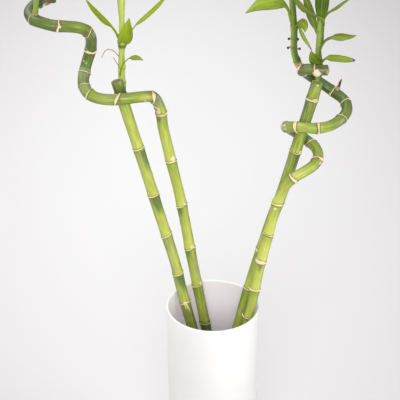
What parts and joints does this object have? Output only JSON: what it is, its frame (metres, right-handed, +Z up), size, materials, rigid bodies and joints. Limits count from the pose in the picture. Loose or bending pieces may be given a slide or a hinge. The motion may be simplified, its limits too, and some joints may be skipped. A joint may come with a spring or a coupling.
{
  "type": "lucky bamboo",
  "caption": "Lucky bamboo: ringed green canes, some straight and some trained in a curl, with leafy shoots, leaning in a plain white cylinder vase of water",
  "frame": {"origin": "middle of the vase's underside, on the surface that it stands on", "axes": "+Z up, +X to the right and +Y away from a viewer who sees the canes as the picture does"},
  "size_m": [0.3902, 0.1591, 0.6661],
  "materials": {
    "vase": "satin",
    "water": "gloss",
    "cane": "satin",
    "leaf": "satin"
  },
  "bodies": {
    "root": {"vase": "vase", "water": "water", "cane_a": "cane", "cane_b": "cane", "cane_c": "cane", "cane_d": "cane", "shoot_a": "leaf", "shoot_b": "leaf", "shoot_c": "leaf", "shoot_d": "leaf"}
  },
  "joints": []
}
